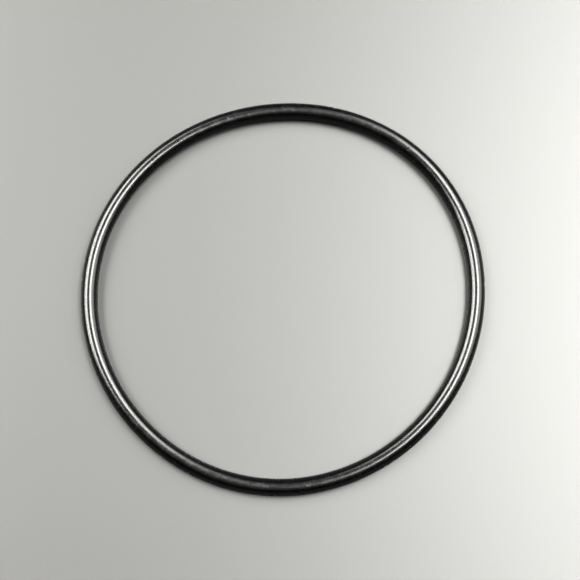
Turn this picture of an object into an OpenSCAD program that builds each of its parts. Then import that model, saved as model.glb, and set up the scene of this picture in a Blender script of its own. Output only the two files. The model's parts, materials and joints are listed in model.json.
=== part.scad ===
// O-ring: a solid ring seal of moulded rubber, lying flat.
// It is one moulding. Its section is a true circle, carried round a true
// circle. The mould parts on the middle plane of the ring, and leaves a fine
// land there: one edge of it runs round the inside, the other round the outside.
// The origin is on the ring's axis, on the plane that the ring lies on.

/* [Ring] */
// Inside diameter of the relaxed ring, across the bare section
inside_d = 78.97; // [20:0.01:250]
// Diameter of the round section
section_d = 3.53; // [1:0.01:8]

/* [Parting line] */
// Height of the flat top of each land, along the ring's axis
land_h = 0.14; // [0.04:0.01:0.3]
// How far each land stands proud of the round section
land_proud = 0.05; // [0.02:0.01:0.15]

/* [Hidden] */
// Every separate piece of the object
// The piece to draw, or "all"
// Radius of the round section
section_r = section_d / 2;
// Radius of the circle that the section's centre runs along
pitch_r = inside_d / 2 + section_r;
// Distance from the section's centre to the top of each land
land_top = section_r + land_proud;
// Distance from the section's centre to the root of each land, under its surface
land_root = section_r - land_proud;
// Half of the height of a land's flat top
top_half = land_h / 2;
// Half of the height of a land's root: the flanks slope at 45 degrees
root_half = top_half + land_top - land_root;
// Number of sides drawn for each circle
sides = 180;

// The band of rubber on the mould's parting plane, land to land, in section
module parting_band() {
    polygon([
        [-land_root, -root_half],
        [land_root, -root_half],
        [land_top, -top_half],
        [land_top, top_half],
        [land_root, root_half],
        [-land_root, root_half],
        [-land_top, top_half],
        [-land_top, -top_half],
    ]);
}

// The whole section, centred on the origin
module section() {
    circle(r = section_r, $fn = sides);
    parting_band();
}

// The ring, with its lowest point on the plane z = 0
module o_ring() {
    color("#1b1c1e")
        translate([0, 0, section_r])
            rotate_extrude($fn = sides)
                translate([pitch_r, 0])
                    section();
}

o_ring();
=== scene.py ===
# Looks of a moulded rubber O-ring that lies flat on a pale bench.
#
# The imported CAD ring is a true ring. The one drawn here stands for it: it is the
# same cord, lying slightly out of round as soft rubber does, with the soft-edged
# land that the mould's parting line leaves round its inside and its outside.
import json
import math

import bpy
import numpy as np
from mathutils import Matrix, Vector, noise


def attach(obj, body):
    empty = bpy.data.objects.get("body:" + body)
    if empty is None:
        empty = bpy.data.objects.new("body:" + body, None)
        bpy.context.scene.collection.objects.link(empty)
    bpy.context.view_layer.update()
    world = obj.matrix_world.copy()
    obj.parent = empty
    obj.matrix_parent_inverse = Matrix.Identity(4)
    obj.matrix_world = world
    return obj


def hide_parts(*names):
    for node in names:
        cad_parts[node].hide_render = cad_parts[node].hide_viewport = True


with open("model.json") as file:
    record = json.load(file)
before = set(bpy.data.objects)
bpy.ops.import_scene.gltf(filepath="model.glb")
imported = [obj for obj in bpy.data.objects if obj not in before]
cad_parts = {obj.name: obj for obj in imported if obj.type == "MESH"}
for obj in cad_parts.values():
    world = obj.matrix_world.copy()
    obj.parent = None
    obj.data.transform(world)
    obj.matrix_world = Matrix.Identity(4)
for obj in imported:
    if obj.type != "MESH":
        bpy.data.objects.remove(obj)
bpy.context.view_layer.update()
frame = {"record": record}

# ---------------------------------------------------------------- the frame
NODE = "o_ring"
MM = 0.001
MOUNTS = {m["name"]: m for m in frame["record"]["mounts"]}
INNER_SEAT, OUTER_SEAT = MOUNTS["inner_seat"], MOUNTS["outer_seat"]
INNER_R = INNER_SEAT["dims"]["r_mm"] * MM
OUTER_R = OUTER_SEAT["dims"]["r_mm"] * MM
# The ring lies on the frame's own ground plane, and its section is centred MID_Z up
FLOOR_Z = 0.0
MID_Z = OUTER_SEAT["pos_m"][2]
SECTION_R = MID_Z - FLOOR_Z
PITCH_R = (INNER_R + OUTER_R) / 2
# The parting land: how far it stands proud, half its flat top and half its root
LAND_PROUD = OUTER_R - PITCH_R - SECTION_R
LAND_TOP = OUTER_SEAT["dims"]["length_mm"] * MM / 2
LAND_ROOT = LAND_TOP + LAND_PROUD

# ------------------------------------------------------------ how it lies
# Out of round, as harmonic: (share of the radius, direction of its long axis in
# degrees). They were measured on the outline of the real ring, seen from above.
OUT_OF_ROUND = {2: (0.01275, 27.6), 3: (0.0071, 38.1), 4: (0.0009, -34.6), 5: (0.0007, -30.5)}
# How far the moulded skin wavers, and the distance over which it does
SWELL = 0.009 * MM
SWELL_PITCH = 2.6 * MM
# Small marks: degrees round the ring, degrees round the section, reach along the
# ring, reach round the section, and how deep it is cut (or stands up, if negative)
MARKS = (
    (49.8, 101.0, 0.14 * MM, 0.36 * MM, 0.05 * MM),
    (107.4, 88.0, 0.09 * MM, 0.22 * MM, -0.020 * MM),
    (134.2, 91.5, 0.18 * MM, 0.16 * MM, 0.05 * MM),
    (132.7, 90.0, 0.15 * MM, 0.13 * MM, 0.04 * MM),
    (124.6, 94.0, 0.16 * MM, 0.14 * MM, 0.04 * MM),
)

# ------------------------------------------------------------ the mesh
# Sections round the ring, and the closer ones that replace them at each mark
STATIONS = 450
MARK_STATIONS = 13
# Reaches of a mark that its closer sections run to, and that the others keep off
MARK_SPAN = 3
MARK_CLEARANCE = 3.3
# Points on each half of the section, and up each half of a land
SECTION_STEPS = 74
LAND_STEPS = 7

# ------------------------------------------------------------ the rubber
RUBBER_IOR = 1.55
# Mottling: the size, detail and roughness of its noise, then the noise's level and
# the body colour at its dark and pale ends, and the level and the skin's roughness
CLOUD = (1.3 * MM, 5.0, 0.65)
BODY_DARK = (0.35, (0.0007, 0.0007, 0.0008, 1))
BODY_PALE = (0.75, (0.0022, 0.0023, 0.0027, 1))
SKIN_SLEEK = (0.3, 0.19)
SKIN_DULL = (0.7, 0.30)
# Fine grain: the size, detail and roughness of its noise, and its height as bump
GRAIN = (0.55 * MM, 4.0, 0.7)
GRAIN_HEIGHT = 0.005 * MM
# Dust specks: their spacing, the share of it that one takes up, and their colour
DUST_PITCH = 1.7 * MM
DUST_EDGE, DUST_CORE = 0.050, 0.035
DUST_COLOUR = (0.026, 0.026, 0.024, 1)
# Torn rubber inside a cut is matt: its roughness. Its shine is also taken away there, as painted
# shade of the
# crevice: the share of the cut's full depth from which it has no shine. Elsewhere the shine is the
# shader's usual one.
CUT_ROUGHNESS = 0.4
CUT_MATT_AND_SHADE_FROM = 0.6
SPECULAR_LEVEL = 0.5

# ------------------------------------------------------------ the floor
FLOOR_RADIUS = 4.0
FLOOR_SIDES = 96
FLOOR_GREY = (0.082, 0.082, 0.082, 1)
FLOOR_ROUGHNESS = 0.40
FLOOR_METALLIC = 0.4

# ------------------------------------------------------------ the light
# Level panels overhead, each with the slopes of its edges to the right and ahead,
# as seen from the ring, and its radiance. Two bright banks, left and right, draw
# the two lines along the cord. The dim middle one gives the grey sheen round them.
# A fit to the brightness along the real cord gave the first values. They were then
# rounded and set from renders.
PANELS = {
    "left_core": ((-1.00, -0.45), (-0.10, 0.90), 14.0),
    "left_edge": ((-1.75, -1.15), (-0.20, 1.05), 12.0),
    "left_top": ((-1.15, -0.35), (0.90, 1.35), 4.0),
    "middle": ((-0.35, 0.80), (-0.85, 1.35), 0.35),
    "right_core": ((0.15, 0.55), (-0.20, 0.40), 15.5),
    "right_corner": ((0.24, 0.55), (0.40, 0.60), 15.5),
    "right_edge": ((0.15, 0.85), (0.70, 1.10), 2.5),
    "right_top": ((0.55, 1.05), (0.80, 2.20), 1.8),
    "right_glow": ((0.35, 2.80), (-0.10, 1.10), 3.8),
    "right_low": ((0.85, 1.90), (-0.50, -0.10), 2.5),
}
# Height of the lowest panel, and of each one above the one before it
LIGHT_HEIGHT = 2.0
PANEL_STEP = 0.01
PANEL_TINT = (1, 1, 0.965)
# Radiance of a panel of one square metre, for each watt that it is given
RADIANCE_PER_WATT = 1 / 4
# The room's glow, from its pale walls up to its ceiling, and where the walls end
WALL_GLOW, CEILING_GLOW = 0.50, 0.03
WALL_TOP, CEILING_EDGE = 0.05, 0.25

# ------------------------------------------------------------ the view
# Where the camera stands (degrees, and half the angle that the ring fills), the
# width that it sees at the ring, and the spot that it looks at from the ring's middle
VIEW_ELEVATION = 80.0
VIEW_AZIMUTH = 4.3
VIEW_HALF_ANGLE = 6.7
VIEW_DISTANCE = PITCH_R / math.tan(math.radians(VIEW_HALF_ANGLE))
VIEW_WIDTH = 124.40 * MM
LOOK_AT = Vector((1.43 * MM, 0.94 * MM, 0.0))
SENSOR = 36.0
CLIP = (0.01, 20)


def harmonic_radius(angle):
    """Radius of the cord's centre line at an angle, and its rate of change."""
    radius, slope = np.ones_like(angle), np.zeros_like(angle)
    for n, (share, axis) in OUT_OF_ROUND.items():
        phase = n * (angle - math.radians(axis))
        radius += share * np.cos(phase)
        slope -= share * n * np.sin(phase)
    return PITCH_R * radius, PITCH_R * slope


def section_profile():
    """Points round the cord's section, counter-clockwise from the outer land."""
    land_z = LAND_ROOT * np.linspace(0, 1, LAND_STEPS)
    rise = np.clip((LAND_ROOT - land_z) / (LAND_ROOT - LAND_TOP), 0, 1)
    rise = rise * rise * (3 - 2 * rise)
    land_x = np.sqrt(SECTION_R**2 - land_z**2) + LAND_PROUD * rise
    root = math.asin(LAND_ROOT / SECTION_R)
    arc = np.linspace(root, math.pi - root, SECTION_STEPS)[1:-1]
    upper = list(zip(land_x, land_z))
    upper += [(SECTION_R * math.cos(a), SECTION_R * math.sin(a)) for a in arc]
    upper += list(zip(-land_x[::-1], land_z[::-1]))
    lower = [(-x, -z) for x, z in upper[1:-1]]
    return np.array(upper + lower)


def stations():
    """Angles of the sections round the ring, closer together at each mark."""
    angles = list(np.linspace(0, 2 * math.pi, STATIONS, endpoint=False))
    for ring_angle, _, reach, _, _ in MARKS:
        middle = math.radians(ring_angle)
        near = middle + np.linspace(-MARK_SPAN, MARK_SPAN, MARK_STATIONS) * reach / PITCH_R
        angles = [a for a in angles if abs(a - middle) > MARK_CLEARANCE * reach / PITCH_R]
        angles += list(near)
    return np.sort(np.array(angles))


def marks(angle, section_angle):
    """How far the marks push the skin in, and how cut and how raised each point is."""
    push = np.zeros((len(angle), len(section_angle)))
    cut, raised = push.copy(), push.copy()
    for ring_angle, at, along, across, depth in MARKS:
        u = (angle - math.radians(ring_angle)) * PITCH_R / along
        v = (section_angle - math.radians(at)) * SECTION_R / across
        spot = np.exp(-u * u)[:, None] * np.exp(-v * v)[None]
        push += depth * spot
        if depth > 0:
            cut += spot
        else:
            raised += spot
    return push, cut, raised


def ring_mesh():
    """The whole ring as one closed skin of quads."""
    profile = section_profile()
    angle = stations()
    count, rings = len(angle), len(profile)
    radius, slope = harmonic_radius(angle)
    out = np.stack([np.cos(angle), np.sin(angle)], 1)
    along = np.stack([-np.sin(angle), np.cos(angle)], 1)
    side = radius[:, None] * out - slope[:, None] * along
    side /= np.linalg.norm(side, axis=1)[:, None]
    reach = np.linalg.norm(profile, axis=1)
    facing = profile / reach[:, None]
    centre = np.concatenate([radius[:, None] * out, np.full((count, 1), MID_Z)], 1)
    normal = np.empty((count, rings, 3))
    normal[..., :2] = side[:, None] * facing[None, :, :1]
    normal[..., 2] = facing[None, :, 1]
    points = centre[:, None] + normal * reach[None, :, None]

    swell = [noise.noise(Vector(p) / SWELL_PITCH) for p in points.reshape(-1, 3)]
    clear_of_floor = np.clip((points[..., 2] - FLOOR_Z) / SECTION_R, 0, 1)
    push = SWELL * np.array(swell).reshape(count, rings) * clear_of_floor
    pressed, cut, raised = marks(angle, np.arctan2(profile[:, 1], profile[:, 0]))
    push -= pressed
    points = (points + normal * push[..., None]).reshape(-1, 3)

    i, j = np.meshgrid(np.arange(count), np.arange(rings), indexing="ij")
    i2, j2 = (i + 1) % count, (j + 1) % rings
    quads = np.stack([i * rings + j, i2 * rings + j, i2 * rings + j2, i * rings + j2], -1)
    mesh = bpy.data.meshes.new("rubber_ring")
    mesh.from_pydata(points.tolist(), [], quads.reshape(-1, 4).tolist())
    mesh.shade_smooth()
    mesh.validate()
    for name, values in (("cut", cut), ("raised", raised)):
        layer = mesh.attributes.new(name, "FLOAT", "POINT")
        layer.data.foreach_set("value", np.clip(values, 0, 1).ravel())
    return mesh


def node(tree, kind, inputs=None, **properties):
    """One shader node, with its properties and then its inputs set by name."""
    made = tree.nodes.new(kind)
    for key, value in properties.items():
        setattr(made, key, value)
    for key, value in (inputs or {}).items():
        made.inputs[key].default_value = value
    return made


def map_range(tree, source, start, end):
    """A value's range from start[0] to end[0], mapped to start[1] to end[1]."""
    made = node(tree, "ShaderNodeMapRange", {
        "From Min": start[0], "From Max": end[0], "To Min": start[1], "To Max": end[1]})
    tree.links.new(source, made.inputs["Value"])
    return made.outputs["Result"]


def noise_node(tree, coords, size, detail, roughness):
    """Noise in the object's own space, with features of about the given size."""
    made = node(tree, "ShaderNodeTexNoise", {
        "Scale": 1 / size, "Detail": detail, "Roughness": roughness})
    tree.links.new(coords.outputs["Object"], made.inputs["Vector"])
    return made.outputs["Fac"]


def body_colour(tree, coords, cloud):
    """Near-black rubber, mottled, with dust specks and the pale raised tick."""
    tone = node(tree, "ShaderNodeValToRGB")
    dark, pale = tone.color_ramp.elements
    dark.position, dark.color = BODY_DARK
    pale.position, pale.color = BODY_PALE
    tree.links.new(cloud, tone.inputs["Fac"])
    cells = node(tree, "ShaderNodeTexVoronoi", {"Scale": 1 / DUST_PITCH})
    tree.links.new(coords.outputs["Object"], cells.inputs["Vector"])
    dust = map_range(tree, cells.outputs["Distance"], (DUST_EDGE, 0), (DUST_CORE, 1))
    raised = node(tree, "ShaderNodeAttribute", attribute_name="raised")
    cover = node(tree, "ShaderNodeMath", operation="MAXIMUM")
    tree.links.new(dust, cover.inputs[0])
    tree.links.new(raised.outputs["Fac"], cover.inputs[1])
    body = node(tree, "ShaderNodeMix", {"B": DUST_COLOUR}, data_type="RGBA")
    tree.links.new(cover.outputs["Value"], body.inputs["Factor"])
    tree.links.new(tone.outputs["Color"], body.inputs["A"])
    return body.outputs["Result"]


def rubber():
    """Black moulded rubber: a smooth skin over a mottled body, with a little dust."""
    mat = bpy.data.materials.new("moulded_rubber")
    mat.use_nodes = True
    tree = mat.node_tree
    link = tree.links.new
    shader = tree.nodes["Principled BSDF"]
    shader.inputs["IOR"].default_value = RUBBER_IOR
    coords = node(tree, "ShaderNodeTexCoord")
    cloud = noise_node(tree, coords, *CLOUD)
    grain = noise_node(tree, coords, *GRAIN)
    cut = node(tree, "ShaderNodeAttribute", attribute_name="cut").outputs["Fac"]
    link(body_colour(tree, coords, cloud), shader.inputs["Base Color"])

    skin = map_range(tree, cloud, SKIN_SLEEK, SKIN_DULL)
    dull = node(tree, "ShaderNodeMix", {"B": CUT_ROUGHNESS})
    link(cut, dull.inputs["Factor"])
    link(skin, dull.inputs["A"])
    link(dull.outputs["Result"], shader.inputs["Roughness"])
    # Inside a cut the shine falls to nothing: painted shade of the crevice, over rubber that is
    # also matt there
    shine_with_cut_shade = map_range(tree, cut, (0, SPECULAR_LEVEL), (CUT_MATT_AND_SHADE_FROM, 0))
    link(shine_with_cut_shade, shader.inputs["Specular IOR Level"])

    bump = node(tree, "ShaderNodeBump", {"Strength": 1.0, "Distance": GRAIN_HEIGHT})
    link(grain, bump.inputs["Height"])
    link(bump.outputs["Normal"], shader.inputs["Normal"])
    return mat


def pale_floor():
    """A wide plain floor, which isn't part of the object."""
    bpy.ops.mesh.primitive_circle_add(
        vertices=FLOOR_SIDES, radius=FLOOR_RADIUS, fill_type="NGON", location=(0, 0, FLOOR_Z))
    floor = bpy.context.object
    floor.name = "floor"
    mat = bpy.data.materials.new("floor_grey")
    mat.use_nodes = True
    shader = mat.node_tree.nodes["Principled BSDF"]
    shader.inputs["Base Color"].default_value = FLOOR_GREY
    shader.inputs["Roughness"].default_value = FLOOR_ROUGHNESS
    shader.inputs["Metallic"].default_value = FLOOR_METALLIC
    floor.data.materials.append(mat)


def panel(name, x_slopes, y_slopes, radiance, height):
    """A level light panel overhead, placed by its edges' slopes as seen from the ring."""
    data = bpy.data.lights.new(name, "AREA")
    data.shape = "RECTANGLE"
    data.size = (x_slopes[1] - x_slopes[0]) * height
    data.size_y = (y_slopes[1] - y_slopes[0]) * height
    data.energy = radiance / RADIANCE_PER_WATT * data.size * data.size_y
    data.color = PANEL_TINT
    lamp = bpy.data.objects.new(name, data)
    lamp.location = (sum(x_slopes) / 2 * height, sum(y_slopes) / 2 * height, height)
    bpy.context.collection.objects.link(lamp)


def room():
    """The studio's pale walls, which fade into a dark ceiling above the panels."""
    world = bpy.data.worlds.new("studio")
    bpy.context.scene.world = world
    world.use_nodes = True
    tree = world.node_tree
    coords = node(tree, "ShaderNodeTexCoord")
    split = node(tree, "ShaderNodeSeparateXYZ")
    tree.links.new(coords.outputs["Generated"], split.inputs["Vector"])
    glow = map_range(tree, split.outputs["Z"], (WALL_TOP, WALL_GLOW), (CEILING_EDGE, CEILING_GLOW))
    walls = tree.nodes["Background"]
    walls.inputs["Color"].default_value = (1, 1, 1, 1)
    tree.links.new(glow, walls.inputs["Strength"])


def camera():
    """The camera, looking steeply down at the ring, level with the world's X."""
    data = bpy.data.cameras.new("camera")
    data.sensor_width = SENSOR
    data.lens = SENSOR * VIEW_DISTANCE / VIEW_WIDTH
    data.clip_start, data.clip_end = CLIP
    obj = bpy.data.objects.new("camera", data)
    e, a = math.radians(VIEW_ELEVATION), math.radians(VIEW_AZIMUTH)
    back = Vector((math.cos(e) * math.sin(a), -math.cos(e) * math.cos(a), math.sin(e)))
    middle = Vector((0, 0, MID_Z))
    obj.location = middle + back * VIEW_DISTANCE
    ahead = (LOOK_AT + middle - obj.location).normalized()
    right = (Vector((1, 0, 0)) - ahead * ahead.x).normalized()
    up = right.cross(ahead)
    obj.rotation_mode = "QUATERNION"
    obj.rotation_quaternion = Matrix((right, up, -ahead)).transposed().to_quaternion()
    bpy.context.collection.objects.link(obj)
    bpy.context.scene.camera = obj


camera()
piece = bpy.data.objects.new("rubber_ring", ring_mesh())
bpy.context.collection.objects.link(piece)
piece.data.materials.append(rubber())
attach(piece, "root")
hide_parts(NODE)
pale_floor()
for i, (name, (x_slopes, y_slopes, radiance)) in enumerate(PANELS.items()):
    panel(name, x_slopes, y_slopes, radiance, LIGHT_HEIGHT + PANEL_STEP * i)
room()
bpy.context.scene.view_settings.view_transform = "Standard"
bpy.context.scene.view_settings.look = "High Contrast"
